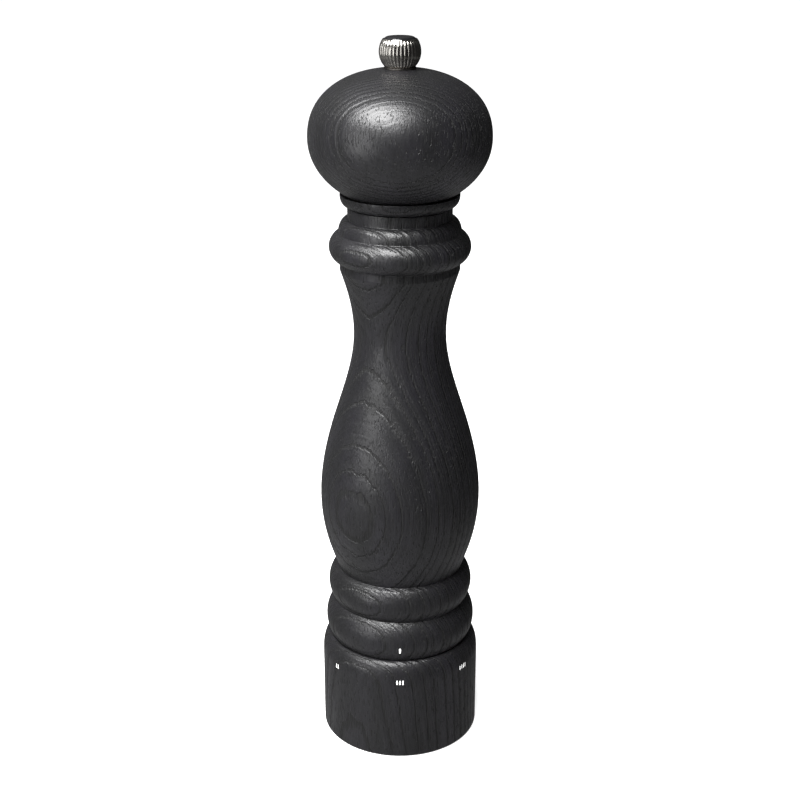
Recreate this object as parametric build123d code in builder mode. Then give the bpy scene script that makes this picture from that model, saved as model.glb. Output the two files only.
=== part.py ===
"""Turned wooden pepper mill, 300 mm tall, with a grind setting ring at its base.

Frame: +Z up along the mill's axis, origin on the resting face. The front is -Y.
All sizes are in millimetres. Heights are stacked from the resting face up, and the
grinding mechanism hangs from the underside of the body.
"""
import os
from math import asin, cos, degrees, radians, sin, sqrt

from build123d import *

os.makedirs("parts", exist_ok=True)

# ---------------------------------------------------------------- clearances
SEAT_GAP = 0.05       # between pieces that are fixed together, on the radius
TURN_GAP = 0.3        # between pieces that turn or slide past each other
JOURNAL_GAP = 0.08    # running clearance of the shaft in its bearings, on the radius
SQUARE_GAP = 0.1      # between each flat of the shaft and a square hole
CUT_SPARE = 1.0       # how far a cut runs on past the face it opens

# ---------------------------------------------------------------- wood outline, heights
BASE_HEIGHT = 45.3
BASE_SHOULDER_HEIGHT = 8.7
LOWER_BEAD_HEIGHT = 17.1
UPPER_BEAD_HEIGHT = 14.4
BELLY_GROOVE_HEIGHT = 0.8
BELLY_HEIGHT = 32.9       # from the groove to the widest place
BELLY_TURN_HEIGHT = 13.6  # from the groove to where the foot of the belly has turned upright
BELLY_FALL_HEIGHT = 34.2  # from the widest place to the middle of the slope above it
WAIST_HEIGHT = 70.2       # from the widest place to the narrowest
FLARE_HEIGHT = 28.1       # from the narrowest place to the collar
FLARE_TURN_HEIGHT = 20.0  # from the narrowest place to the steeper end of the flare
COLLAR_BAND_HEIGHT = 3.2
COLLAR_BEAD_HEIGHT = 12.0
COLLAR_STEP_HEIGHT = 5.6
NECK_HEIGHT = 4.7
HEAD_RING_HEIGHT = 4.8
HEAD_RING_ROUND = 4.3     # height of the rounding at the foot of the head's ring
HEAD_LOWER_HEIGHT = 21.9  # from the head's ring to its widest place
HEAD_UPPER_HEIGHT = 26.3  # from its widest place to the flat under the knob

# ---------------------------------------------------------------- wood outline, radii
BASE_RADIUS = 33.9
FOOT_ROUND = 1.2
BASE_TOP_RADIUS = 29.9
LOWER_BEAD_RADIUS = 32.1
BEAD_GROOVE_RADIUS = 28.3
UPPER_BEAD_RADIUS = 30.85
UPPER_BEAD_TOP_RADIUS = 28.4
BELLY_FOOT_RADIUS = 26.6
BELLY_TURN_RADIUS = 31.2
BELLY_RADIUS = 33.65
BELLY_FALL_RADIUS = 27.65
WAIST_RADIUS = 18.95
FLARE_TURN_RADIUS = 21.7
COLLAR_BAND_RADIUS = 24.3
COLLAR_BEAD_RADIUS = 28.55
COLLAR_STEP_RADIUS = 24.7
NECK_RADIUS = 21.0
HEAD_RING_RADIUS = 23.95
HEAD_RADIUS = 36.2
HEAD_FLAT_RADIUS = 6.6
HEAD_LOWER_REACH = 27.65  # half-height of the ellipse under the widest place
HEAD_ROUNDNESS = 2.25     # above it: 2 is an ellipse, more is fuller
HEAD_CURVE_STEPS = 6
HEAD_FLAT_SLOPE = 0.12    # rise over run where the curve meets the flat

# ---------------------------------------------------------------- knob
KNOB_RADIUS = 8.2
KNOB_FOOT_HEIGHT = 5.9    # from the washer to the middle of the ball
KNOB_TOP_HEIGHT = 4.8     # from the middle of the ball to its flat rim
KNOB_LIP = 0.65           # width of the rim round the cap
KNOB_FLUTES = 32
FLUTE_RADIUS = 0.4
CAP_RECESS_DEPTH = 0.8
CAP_RISE = 0.8            # of the cap above the rim
CAP_BEVEL = 1.4           # width of the slope round the cap
KNOB_WASHER_THICKNESS = 0.6
KNOB_WASHER_RADIUS = 6.3
INSERT_RADIUS = 4.0
INSERT_LENGTH = 8.8
THREAD_PITCH = 0.8

# ---------------------------------------------------------------- shaft
SHAFT_SQUARE = 6.0
SHAFT_CORNER_STAND = 1.0  # how far the rounded corners stand out beyond the flats
JOURNAL_RADIUS = 2.5
JOURNAL_SPARE = 0.5       # of journal above the bridge at its finest setting
JOURNAL_STICKOUT = 1.6    # of journal below the bridge
THREAD_RADIUS = 2.5
THREAD_LENGTH = 12.5
THREAD_CHAMFER = 0.5
THREAD_HOLE_GAP = 0.4     # round the thread in the knob's washer
CLIP_GROOVE_RADIUS = 2.6
CLIP_RIM = 2.0            # how far the clip stands out beyond the shaft
CLIP_THICKNESS = 0.9
CLIP_MOUTH = 4.2
CLIP_EYE_RADIUS = 0.9     # of the two notches for pliers
CLIP_EYE_STAND = 0.8      # from the groove to the middle of a notch
CLIP_EYE_ANGLE = 120.0
HEAD_BORE_GAP = 0.8       # round the shaft in the head

# ---------------------------------------------------------------- hopper and neck
HOPPER_RADIUS = 12.5
NECK_SEAT_LEDGE = 2.5     # how much wider than the hopper the seat of the neck bush is
NECK_BUSH_WALL = 1.6
HEAD_BUSH_WALL = 1.15
SPIGOT_LENGTH = 18.0
NECK_SEAT_SPARE = 1.3     # from the foot of the spigot to the seat of the neck bush
DRIVE_PLATE_THICKNESS = 1.6
DRIVE_PLATE_SCREW_ANGLES = (45, 225)

# ---------------------------------------------------------------- grinding mechanism
FLANGE_RIM = 3.4          # of the flange, outside the circle of its screws
FLANGE_THICKNESS = 4.0
HOUSING_WALL = 2.8        # outside the outer burr
HOUSING_RISE = 1.8        # from the foot of the ring insert to the foot of the housing
GUIDE_THICKNESS = 3.0
GUIDE_HUB_DROP = 1.8      # how far the guide's hub hangs below its arms
GUIDE_SEAT_LEDGE = 0.7    # how much wider than the outer burr the guide is
GUIDE_RIM = 1.75
GUIDE_ARM_WIDTH = 3.0
GUIDE_ARMS = 3
HUB_WALL = 2.5            # of the guide's and the bridge's hub, outside the shaft
OUTER_BURR_LEDGE = 2.0    # how much wider than the hopper the outer burr is
OUTER_BURR_HEIGHT = 14.0
OUTER_BURR_RISE = 7.0     # from the foot of the housing to the foot of the outer burr
OUTER_BURR_BODY = 3.3     # thickness of the outer burr at its foot
FINE_ZONE_HEIGHT = 3.6
FINE_ZONE_TAPER = 0.8
BURR_STEP_HEIGHT = 1.5    # of the chamfer between the fine and the coarse zones
OUTER_STEP_WIDTH = 0.6
INNER_STEP_WIDTH = 1.2
BURR_LIP = 0.3            # how far the outer burr's top edge stands inside the hopper
GRIND_GAP = 0.6
INNER_BURR_TOP_WALL = 2.4 # of the inner burr at its top, outside the shaft
INNER_BURR_HEIGHT = 14.6
BURR_LIFT = 0.4           # how far the inner burr's foot stands above the outer burr's at rest
FINE_TEETH = 30
FINE_GROOVE = 0.45        # radius of a groove between two fine teeth
FINE_GROOVE_FLARE = 1.0   # degrees
COARSE_TEETH = 6
INNER_COARSE_GROOVE = 2.2
INNER_COARSE_INSET = 0.6  # of the middle of a coarse groove, from the edge of the inner burr
OUTER_COARSE_GROOVE = 0.9
OUTER_COARSE_FLARE = 3.0  # degrees
WASHER_THICKNESS = 0.8
WASHER_SETBACK = 0.2      # of the washers' rim from that of the bridge's hub
SPRING_WASHER_THICKNESS = 0.6
SPRING_WIRE = 0.9
SPRING_GAP = 0.9          # between the shaft and the spring
SPRING_PITCH = 2.1
BRIDGE_HUB_HEIGHT = 6.0
BRIDGE_ARM_THICKNESS = 3.0
BRIDGE_ARM_RISE = 1.0     # from the foot of the hub to the underside of the arms
BRIDGE_ARM_WIDTH = 4.0
BRIDGE_ARMS = 3
BUSH_RADIUS = 4.0
SNAP_THICKNESS = 1.2
RING_SNAP_RISE = 1.6      # from the foot of the outer burr to the ring retainer
SNAP_GAP_SPAN = 16.0      # degrees left open in each snap ring
BURR_SNAP_ANGLE = 30.0    # where the gap of the burr's ring starts
RING_SNAP_ANGLE = 150.0   # and that of the setting ring's
RETAINER_SETBACK = 1.6    # of the retainer's inner edge from the outer burr's bore
SNAP_GROOVE_DEPTH = 0.8
SCREW_STAND = 3.3         # from the housing's wall to the circle of its screws
SCREW_COUNT = 3
SCREW_HEAD_RADIUS = 2.2
SCREW_HEAD_HEIGHT = 1.9
SCREW_RADIUS = 1.4
SCREW_CROSS = 2.4         # length of each slot of the cross
SCREW_SLOT = 0.6
SCREW_ANGLE = 30.0        # where the first screw stands
SCREW_LENGTH = 11.0
PLATE_SCREW_HEAD_HEIGHT = 1.2
PLATE_SCREW_RADIUS = 1.2
PLATE_SCREW_LENGTH = 9.0  # of its hole in the head
PLATE_SCREW_SPARE = 1.0   # of hole left past the screw's point

# ---------------------------------------------------------------- setting ring
INSERT_WALL = 4.0         # of the ring insert, beside the housing
LIFT_THREAD_DEPTH = 2.2
LEDGE_WIDTH = 1.0
LEDGE_HEIGHT = 4.0
MOUTH_RADIUS = 26.0
MOUTH_DEPTH = 5.0
SETTING_ANGLE = 53.0      # between two settings
CLICKS_FINER = 2          # settings on the fine side of the rest setting
CLICKS_COARSER = 3        # and on the coarse side
LIFT_PER_CLICK = 0.3      # of the bridge and the inner burr
CLICK_ANGLE = 90.0        # where the click spring stands
NOTCH_RADIUS = 1.3
NOTCH_HEIGHT = 6.0
NOTCH_DROP = 3.0          # from the top of the insert to the top of a notch
LEAF_THICKNESS = 0.5
LEAF_HEIGHT = 5.0
LEAF_SPAN = 44.0          # degrees
POCKET_SPAN = 50.0
POCKET_DEPTH = 1.5
NOSE_RADIUS = 0.9
STOP_HEIGHT = 1.8
STOP_DEPTH = 1.9
STOP_RIB_SPAN = 30.0
STOP_SLACK = 1.0          # degrees left at each end of the travel

# ---------------------------------------------------------------- levels that follow from the sizes
body_bottom = BASE_HEIGHT + TURN_GAP
lower_bead_top = body_bottom + LOWER_BEAD_HEIGHT
upper_bead_top = lower_bead_top + UPPER_BEAD_HEIGHT
belly_bottom = upper_bead_top + BELLY_GROOVE_HEIGHT
belly_level = belly_bottom + BELLY_HEIGHT
waist_level = belly_level + WAIST_HEIGHT
collar_bottom = waist_level + FLARE_HEIGHT
collar_band_top = collar_bottom + COLLAR_BAND_HEIGHT
collar_bead_top = collar_band_top + COLLAR_BEAD_HEIGHT
collar_step_top = collar_bead_top + COLLAR_STEP_HEIGHT
body_top = collar_step_top + NECK_HEIGHT
head_bottom = body_top + TURN_GAP
head_ring_top = head_bottom + HEAD_RING_HEIGHT
head_level = head_ring_top + HEAD_LOWER_HEIGHT
head_top = head_level + HEAD_UPPER_HEIGHT
knob_foot = head_top + KNOB_WASHER_THICKNESS
knob_level = knob_foot + KNOB_FOOT_HEIGHT
knob_rim = knob_level + KNOB_TOP_HEIGHT
knob_top = knob_rim + CAP_RISE
flange_top = body_bottom + FLANGE_THICKNESS
guide_bottom = flange_top - GUIDE_THICKNESS
guide_hub_bottom = guide_bottom - GUIDE_HUB_DROP
insert_foot = MOUTH_DEPTH + LEDGE_HEIGHT
housing_foot = insert_foot + HOUSING_RISE
outer_burr_foot = housing_foot + OUTER_BURR_RISE
outer_burr_top = outer_burr_foot + OUTER_BURR_HEIGHT
inner_burr_foot = outer_burr_foot + BURR_LIFT
outer_coarse_foot = outer_burr_foot + FINE_ZONE_HEIGHT + BURR_STEP_HEIGHT
fine_zone_top = inner_burr_foot + FINE_ZONE_HEIGHT
inner_burr_top = inner_burr_foot + INNER_BURR_HEIGHT
spring_foot = inner_burr_top + SPRING_WASHER_THICKNESS
bridge_top = inner_burr_foot - WASHER_THICKNESS
bridge_foot = bridge_top - BRIDGE_HUB_HEIGHT
bridge_arm_bottom = bridge_foot + BRIDGE_ARM_RISE
bridge_arm_top = bridge_arm_bottom + BRIDGE_ARM_THICKNESS
lift_finest = LIFT_PER_CLICK * CLICKS_FINER
journal_top = bridge_top + lift_finest + JOURNAL_SPARE
journal_foot = bridge_foot - JOURNAL_STICKOUT
thread_top = knob_foot + INSERT_LENGTH - THREAD_PITCH
thread_bottom = thread_top - THREAD_LENGTH
slot_top = bridge_arm_top + lift_finest + TURN_GAP
burr_snap_bottom = outer_burr_foot - SNAP_THICKNESS
ring_snap_bottom = outer_burr_foot + RING_SNAP_RISE
insert_step = ring_snap_bottom + SNAP_THICKNESS + TURN_GAP
spigot_bottom = head_bottom - SPIGOT_LENGTH
neck_seat_bottom = spigot_bottom - NECK_SEAT_SPARE
plate_bottom = spigot_bottom - DRIVE_PLATE_THICKNESS
click_level = BASE_HEIGHT - NOTCH_DROP - NOTCH_HEIGHT / 2

# ---------------------------------------------------------------- radii that follow from the sizes
shaft_corner_radius = SHAFT_SQUARE / 2 + SHAFT_CORNER_STAND
hub_radius = shaft_corner_radius + HUB_WALL
washer_radius = hub_radius - WASHER_SETBACK
clip_radius = shaft_corner_radius + CLIP_RIM
head_bore_radius = shaft_corner_radius + HEAD_BORE_GAP
spring_radius = shaft_corner_radius + SPRING_GAP + SPRING_WIRE / 2
outer_burr_radius = HOPPER_RADIUS + OUTER_BURR_LEDGE
outer_burr_bore = outer_burr_radius - OUTER_BURR_BODY
inner_burr_radius = outer_burr_bore - GRIND_GAP
inner_burr_top_radius = shaft_corner_radius + INNER_BURR_TOP_WALL
housing_radius = outer_burr_radius + HOUSING_WALL
screw_circle = housing_radius + SCREW_STAND
flange_radius = screw_circle + FLANGE_RIM
neck_bush_radius = HOPPER_RADIUS + NECK_SEAT_LEDGE
neck_bush_bore = neck_bush_radius - NECK_BUSH_WALL
head_bush_radius = neck_bush_bore - TURN_GAP
spigot_radius = head_bush_radius - HEAD_BUSH_WALL - SEAT_GAP
plate_screw_circle = (head_bore_radius + spigot_radius) / 2
guide_seat_radius = outer_burr_radius + GUIDE_SEAT_LEDGE
insert_bore = housing_radius + TURN_GAP
insert_radius = insert_bore + INSERT_WALL
lift_thread_radius = insert_bore + LIFT_THREAD_DEPTH
bridge_arm_reach = lift_thread_radius - TURN_GAP
outlet_radius = insert_radius - LEDGE_WIDTH
knob_foot_radius = sqrt(KNOB_RADIUS**2 - KNOB_FOOT_HEIGHT**2)
knob_flat_radius = sqrt(KNOB_RADIUS**2 - KNOB_TOP_HEIGHT**2)
cap_radius = knob_flat_radius - KNOB_LIP
stop_bore = insert_bore + STOP_DEPTH


def ring_section(inner, outer, low, high):
    """Half section of a plain ring in the XZ plane, to be turned about Z."""
    with BuildSketch(Plane.XZ) as section:
        with Locations(((inner + outer) / 2, (low + high) / 2)):
            Rectangle(outer - inner, high - low)
    return section.sketch


def turned_section(*points):
    """Half section with straight sides through (radius, height) points, to be turned about Z."""
    with BuildSketch(Plane.XZ) as section:
        with BuildLine():
            Polyline(*points, close=True)
        make_face()
    return section.sketch


def sector(inner, outer, start, span, level):
    """Part of a flat ring at a level, from a start angle through a span in degrees."""
    end = start + span
    with BuildSketch(Plane.XY.offset(level)) as outline:
        with BuildLine():
            CenterArc((0, 0), inner, start, span)
            CenterArc((0, 0), outer, start, span)
            for angle in (start, end):
                toward = Vector(cos(radians(angle)), sin(radians(angle)))
                Line(toward * inner, toward * outer)
        make_face()
    return outline.sketch


def shaft_section(level, gap=0.0):
    """The shaft's square with rounded corners at a level, or a square hole that clears it."""
    with BuildSketch(Plane.XY.offset(level)) as section:
        Rectangle(SHAFT_SQUARE + 2 * gap, SHAFT_SQUARE + 2 * gap)
        Circle(shaft_corner_radius + gap, mode=Mode.INTERSECT)
    return section.sketch


def spider(hub, arm_width, reach, level, arms):
    """Flat hub with equal arms that end on one circle, the first arm pointing to the back."""
    with BuildSketch(Plane.XY.offset(level)) as outline:
        with PolarLocations(reach / 2, arms, start_angle=90):
            Rectangle(reach, arm_width)
        Circle(hub)
        Circle(reach, mode=Mode.INTERSECT)
    return outline.sketch


def head_curve():
    """Points on the head above its widest place: a superellipse from the side to the flat."""
    flat_share = (HEAD_FLAT_RADIUS / HEAD_RADIUS) ** HEAD_ROUNDNESS
    full = HEAD_UPPER_HEIGHT / (1 - flat_share) ** (1 / HEAD_ROUNDNESS)
    flat_angle = asin((HEAD_UPPER_HEIGHT / full) ** (HEAD_ROUNDNESS / 2))
    angles = [flat_angle * step / HEAD_CURVE_STEPS for step in range(HEAD_CURVE_STEPS + 1)]
    return [
        (
            HEAD_RADIUS * cos(angle) ** (2 / HEAD_ROUNDNESS),
            head_level + full * sin(angle) ** (2 / HEAD_ROUNDNESS),
        )
        for angle in angles
    ]


# ================================================================ body
with BuildPart() as body_shell:
    with BuildSketch(Plane.XZ):
        with BuildLine():
            flange_seat = flange_radius + SEAT_GAP
            bush_seat = neck_bush_radius + SEAT_GAP
            Line((flange_seat, body_bottom), (BASE_TOP_RADIUS, body_bottom))
            ThreePointArc(
                (BASE_TOP_RADIUS, body_bottom),
                (LOWER_BEAD_RADIUS, body_bottom + LOWER_BEAD_HEIGHT / 2),
                (BEAD_GROOVE_RADIUS, lower_bead_top),
            )
            ThreePointArc(
                (BEAD_GROOVE_RADIUS, lower_bead_top),
                (UPPER_BEAD_RADIUS, lower_bead_top + UPPER_BEAD_HEIGHT / 2),
                (UPPER_BEAD_TOP_RADIUS, upper_bead_top),
            )
            Line((UPPER_BEAD_TOP_RADIUS, upper_bead_top), (BELLY_FOOT_RADIUS, belly_bottom))
            Spline(
                (BELLY_FOOT_RADIUS, belly_bottom),
                (BELLY_TURN_RADIUS, belly_bottom + BELLY_TURN_HEIGHT),
                (BELLY_RADIUS, belly_level),
                (BELLY_FALL_RADIUS, belly_level + BELLY_FALL_HEIGHT),
                (WAIST_RADIUS, waist_level),
                (FLARE_TURN_RADIUS, waist_level + FLARE_TURN_HEIGHT),
                (COLLAR_BAND_RADIUS, collar_bottom),
            )
            Line((COLLAR_BAND_RADIUS, collar_bottom), (COLLAR_BAND_RADIUS, collar_band_top))
            ThreePointArc(
                (COLLAR_BAND_RADIUS, collar_band_top),
                (COLLAR_BEAD_RADIUS, collar_band_top + COLLAR_BEAD_HEIGHT / 2),
                (COLLAR_STEP_RADIUS, collar_bead_top),
            )
            EllipticalCenterArc(
                (NECK_RADIUS, collar_bead_top),
                COLLAR_STEP_RADIUS - NECK_RADIUS,
                COLLAR_STEP_HEIGHT,
                arc_size=90,
            )
            Polyline(
                (NECK_RADIUS, collar_step_top),
                (NECK_RADIUS, body_top),
                (bush_seat, body_top),
                (bush_seat, neck_seat_bottom),
                (HOPPER_RADIUS, neck_seat_bottom),
                (HOPPER_RADIUS, flange_top),
                (flange_seat, flange_top),
                (flange_seat, body_bottom),
            )
        make_face()
    revolve(axis=Axis.Z)
    with BuildSketch(Plane.XY.offset(flange_top)):
        with PolarLocations(screw_circle, SCREW_COUNT, start_angle=SCREW_ANGLE):
            Circle(SCREW_RADIUS + SEAT_GAP)
    extrude(amount=SCREW_LENGTH + SCREW_HEAD_HEIGHT, mode=Mode.SUBTRACT)
body_shell.part.label = "body_shell"
export_step(body_shell.part, "parts/body_shell.step")

with BuildPart() as neck_bush:
    revolve(ring_section(neck_bush_bore, neck_bush_radius, neck_seat_bottom, body_top), axis=Axis.Z)
neck_bush.part.label = "neck_bush"
export_step(neck_bush.part, "parts/neck_bush.step")

# ================================================================ grinding mechanism, fixed to the body
with BuildPart() as burr_housing:
    revolve(
        turned_section(
            (outer_burr_radius + SEAT_GAP, housing_foot),
            (housing_radius, housing_foot),
            (housing_radius, body_bottom),
            (flange_radius, body_bottom),
            (flange_radius, flange_top),
            (guide_seat_radius, flange_top),
            (guide_seat_radius, guide_bottom),
            (HOPPER_RADIUS, guide_bottom),
            (HOPPER_RADIUS, outer_burr_top),
            (outer_burr_radius + SEAT_GAP, outer_burr_top),
        ),
        axis=Axis.Z,
    )
    # slots that keep the bridge from turning
    extrude(
        spider(
            BRIDGE_ARM_WIDTH,
            BRIDGE_ARM_WIDTH + 2 * TURN_GAP,
            housing_radius + CUT_SPARE,
            housing_foot,
            BRIDGE_ARMS,
        ),
        amount=slot_top - housing_foot,
        mode=Mode.SUBTRACT,
    )
    # grooves for the two snap rings
    revolve(
        ring_section(
            outer_burr_radius - SNAP_GROOVE_DEPTH,
            outer_burr_radius + SNAP_GROOVE_DEPTH,
            burr_snap_bottom,
            outer_burr_foot,
        ),
        axis=Axis.Z,
        mode=Mode.SUBTRACT,
    )
    revolve(
        ring_section(
            housing_radius - SNAP_GROOVE_DEPTH,
            housing_radius + SNAP_GROOVE_DEPTH,
            ring_snap_bottom,
            ring_snap_bottom + SNAP_THICKNESS,
        ),
        axis=Axis.Z,
        mode=Mode.SUBTRACT,
    )
    # pocket for the click spring
    extrude(
        sector(
            housing_radius - POCKET_DEPTH,
            housing_radius + TURN_GAP,
            CLICK_ANGLE - POCKET_SPAN / 2,
            POCKET_SPAN,
            click_level - LEAF_HEIGHT / 2 - TURN_GAP,
        ),
        amount=LEAF_HEIGHT + 2 * TURN_GAP,
        mode=Mode.SUBTRACT,
    )
    # rib that stops the setting ring at its two ends
    extrude(
        sector(
            housing_radius - SEAT_GAP,
            stop_bore - TURN_GAP,
            CLICK_ANGLE - STOP_RIB_SPAN / 2,
            STOP_RIB_SPAN,
            BASE_HEIGHT - STOP_HEIGHT + TURN_GAP,
        ),
        amount=STOP_HEIGHT,
    )
    # countersunk seats and holes for the wood screws
    with BuildSketch(Plane.XY.offset(body_bottom)):
        with PolarLocations(screw_circle, SCREW_COUNT, start_angle=SCREW_ANGLE):
            Circle(SCREW_HEAD_RADIUS + 2 * SEAT_GAP)
    extrude(amount=SCREW_HEAD_HEIGHT + TURN_GAP, mode=Mode.SUBTRACT)
    with BuildSketch(Plane.XY.offset(body_bottom)):
        with PolarLocations(screw_circle, SCREW_COUNT, start_angle=SCREW_ANGLE):
            Circle(SCREW_RADIUS + SEAT_GAP)
    extrude(amount=FLANGE_THICKNESS, mode=Mode.SUBTRACT)
burr_housing.part.label = "burr_housing"
export_step(burr_housing.part, "parts/burr_housing.step")

with BuildPart() as housing_screws:
    head_foot = body_bottom + TURN_GAP
    with BuildSketch(Plane.XY.offset(head_foot)):
        with PolarLocations(screw_circle, SCREW_COUNT, start_angle=SCREW_ANGLE):
            Circle(SCREW_HEAD_RADIUS)
    extrude(amount=SCREW_HEAD_HEIGHT)
    with BuildSketch(Plane.XY.offset(head_foot)):
        with PolarLocations(screw_circle, SCREW_COUNT, start_angle=SCREW_ANGLE):
            Circle(SCREW_RADIUS)
    extrude(amount=SCREW_LENGTH + SCREW_HEAD_HEIGHT)
    with BuildSketch(Plane.XY.offset(head_foot)):
        with PolarLocations(screw_circle, SCREW_COUNT, start_angle=SCREW_ANGLE):
            Rectangle(SCREW_CROSS, SCREW_SLOT)
            Rectangle(SCREW_SLOT, SCREW_CROSS)
    extrude(amount=SCREW_HEAD_HEIGHT / 2, mode=Mode.SUBTRACT)
housing_screws.part.label = "housing_screws"
export_step(housing_screws.part, "parts/housing_screws.step")

with BuildPart() as shaft_guide:
    revolve(
        ring_section(guide_seat_radius - GUIDE_RIM, guide_seat_radius - SEAT_GAP, guide_bottom, flange_top),
        axis=Axis.Z,
    )
    extrude(
        spider(hub_radius, GUIDE_ARM_WIDTH, guide_seat_radius - GUIDE_RIM / 2, guide_bottom, GUIDE_ARMS),
        amount=GUIDE_THICKNESS,
    )
    revolve(ring_section(0, hub_radius, guide_hub_bottom, flange_top), axis=Axis.Z)
    revolve(
        ring_section(0, shaft_corner_radius + JOURNAL_GAP, guide_hub_bottom, flange_top),
        axis=Axis.Z,
        mode=Mode.SUBTRACT,
    )
shaft_guide.part.label = "shaft_guide"
export_step(shaft_guide.part, "parts/shaft_guide.step")

with BuildPart() as outer_burr:
    revolve(
        turned_section(
            (outer_burr_bore, outer_burr_foot),
            (outer_burr_radius, outer_burr_foot),
            (outer_burr_radius, outer_burr_top),
            (HOPPER_RADIUS - BURR_LIP, outer_burr_top),
            (outer_burr_bore - FINE_ZONE_TAPER + OUTER_STEP_WIDTH, outer_coarse_foot),
            (outer_burr_bore - FINE_ZONE_TAPER, outer_burr_foot + FINE_ZONE_HEIGHT),
        ),
        axis=Axis.Z,
    )
    with BuildSketch(Plane.XY.offset(outer_coarse_foot)):
        with PolarLocations(outer_burr_bore, 2 * COARSE_TEETH):
            Circle(OUTER_COARSE_GROOVE)
    extrude(amount=OUTER_BURR_HEIGHT, mode=Mode.SUBTRACT, taper=-OUTER_COARSE_FLARE)
outer_burr.part.label = "outer_burr"
export_step(outer_burr.part, "parts/outer_burr.step")

with BuildPart() as burr_retainer:
    revolve(
        ring_section(
            outer_burr_bore + RETAINER_SETBACK,
            outer_burr_radius + SNAP_GROOVE_DEPTH - SEAT_GAP,
            burr_snap_bottom,
            outer_burr_foot,
        ),
        axis=Axis.Z,
    )
    extrude(
        sector(
            outer_burr_bore,
            outer_burr_radius + CUT_SPARE,
            BURR_SNAP_ANGLE,
            SNAP_GAP_SPAN,
            burr_snap_bottom,
        ),
        amount=SNAP_THICKNESS,
        mode=Mode.SUBTRACT,
    )
burr_retainer.part.label = "burr_retainer"
export_step(burr_retainer.part, "parts/burr_retainer.step")

with BuildPart() as ring_retainer:
    revolve(
        ring_section(
            housing_radius - SNAP_GROOVE_DEPTH + SEAT_GAP,
            lift_thread_radius - 2 * TURN_GAP,
            ring_snap_bottom,
            ring_snap_bottom + SNAP_THICKNESS,
        ),
        axis=Axis.Z,
    )
    extrude(
        sector(
            housing_radius - CUT_SPARE,
            lift_thread_radius,
            RING_SNAP_ANGLE,
            SNAP_GAP_SPAN,
            ring_snap_bottom,
        ),
        amount=SNAP_THICKNESS,
        mode=Mode.SUBTRACT,
    )
ring_retainer.part.label = "ring_retainer"
export_step(ring_retainer.part, "parts/ring_retainer.step")

with BuildPart() as click_spring:
    leaf_outer = housing_radius - POCKET_DEPTH + SEAT_GAP + LEAF_THICKNESS
    extrude(
        sector(
            leaf_outer - LEAF_THICKNESS,
            leaf_outer,
            CLICK_ANGLE - LEAF_SPAN / 2,
            LEAF_SPAN,
            click_level - LEAF_HEIGHT / 2,
        ),
        amount=LEAF_HEIGHT,
    )
    nose_reach = insert_bore + NOTCH_RADIUS - TURN_GAP
    toward_click = Vector(cos(radians(CLICK_ANGLE)), sin(radians(CLICK_ANGLE)))
    with BuildSketch(Plane.XY.offset(click_level - LEAF_HEIGHT / 2)):
        with BuildLine():
            across = Vector(-toward_click.Y, toward_click.X) * NOSE_RADIUS
            near = toward_click * (leaf_outer - LEAF_THICKNESS / 2)
            far = toward_click * (nose_reach - NOSE_RADIUS)
            Line(near - across, far - across)
            ThreePointArc(far - across, toward_click * nose_reach, far + across)
            Line(far + across, near + across)
            Line(near + across, near - across)
        make_face()
    extrude(amount=LEAF_HEIGHT)
click_spring.part.label = "click_spring"
export_step(click_spring.part, "parts/click_spring.step")

# ================================================================ setting ring
with BuildPart() as base_ring:
    with BuildSketch(Plane.XZ):
        with BuildLine():
            insert_seat = insert_radius + SEAT_GAP
            shoulder = BASE_HEIGHT - BASE_SHOULDER_HEIGHT
            foot_in = BASE_RADIUS - FOOT_ROUND
            Line((MOUTH_RADIUS, 0), (foot_in, 0))
            JernArc((foot_in, 0), (1, 0), FOOT_ROUND, 90)
            Line((BASE_RADIUS, FOOT_ROUND), (BASE_RADIUS, shoulder))
            EllipticalCenterArc(
                (BASE_TOP_RADIUS, shoulder),
                BASE_RADIUS - BASE_TOP_RADIUS,
                BASE_SHOULDER_HEIGHT,
                arc_size=90,
            )
            Polyline(
                (BASE_TOP_RADIUS, BASE_HEIGHT),
                (insert_seat, BASE_HEIGHT),
                (insert_seat, insert_foot),
                (outlet_radius, insert_foot),
                (outlet_radius, MOUTH_DEPTH),
                (MOUTH_RADIUS, 0),
            )
        make_face()
    revolve(axis=Axis.Z)
base_ring.part.label = "base_ring"
export_step(base_ring.part, "parts/base_ring.step")

with BuildPart() as ring_insert:
    revolve(
        turned_section(
            (lift_thread_radius, insert_foot),
            (insert_radius, insert_foot),
            (insert_radius, BASE_HEIGHT),
            (insert_bore, BASE_HEIGHT),
            (insert_bore, insert_step),
            (lift_thread_radius, insert_step),
        ),
        axis=Axis.Z,
    )
    # one click notch for each setting
    with BuildSketch(Plane.XY.offset(click_level - NOTCH_HEIGHT / 2)):
        for click in range(-CLICKS_FINER, CLICKS_COARSER + 1):
            with PolarLocations(insert_bore, 1, start_angle=CLICK_ANGLE + click * SETTING_ANGLE):
                Circle(NOTCH_RADIUS)
    extrude(amount=NOTCH_HEIGHT, mode=Mode.SUBTRACT)
    # the groove that the stop rib runs in, which leaves a lug between its ends
    groove_end = CLICK_ANGLE - STOP_RIB_SPAN / 2 - CLICKS_FINER * SETTING_ANGLE - STOP_SLACK
    groove_span = STOP_RIB_SPAN + (CLICKS_FINER + CLICKS_COARSER) * SETTING_ANGLE + 2 * STOP_SLACK
    extrude(
        sector(insert_bore - SEAT_GAP, stop_bore, groove_end, groove_span, BASE_HEIGHT - STOP_HEIGHT),
        amount=STOP_HEIGHT,
        mode=Mode.SUBTRACT,
    )
ring_insert.part.label = "ring_insert"
export_step(ring_insert.part, "parts/ring_insert.step")

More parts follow.
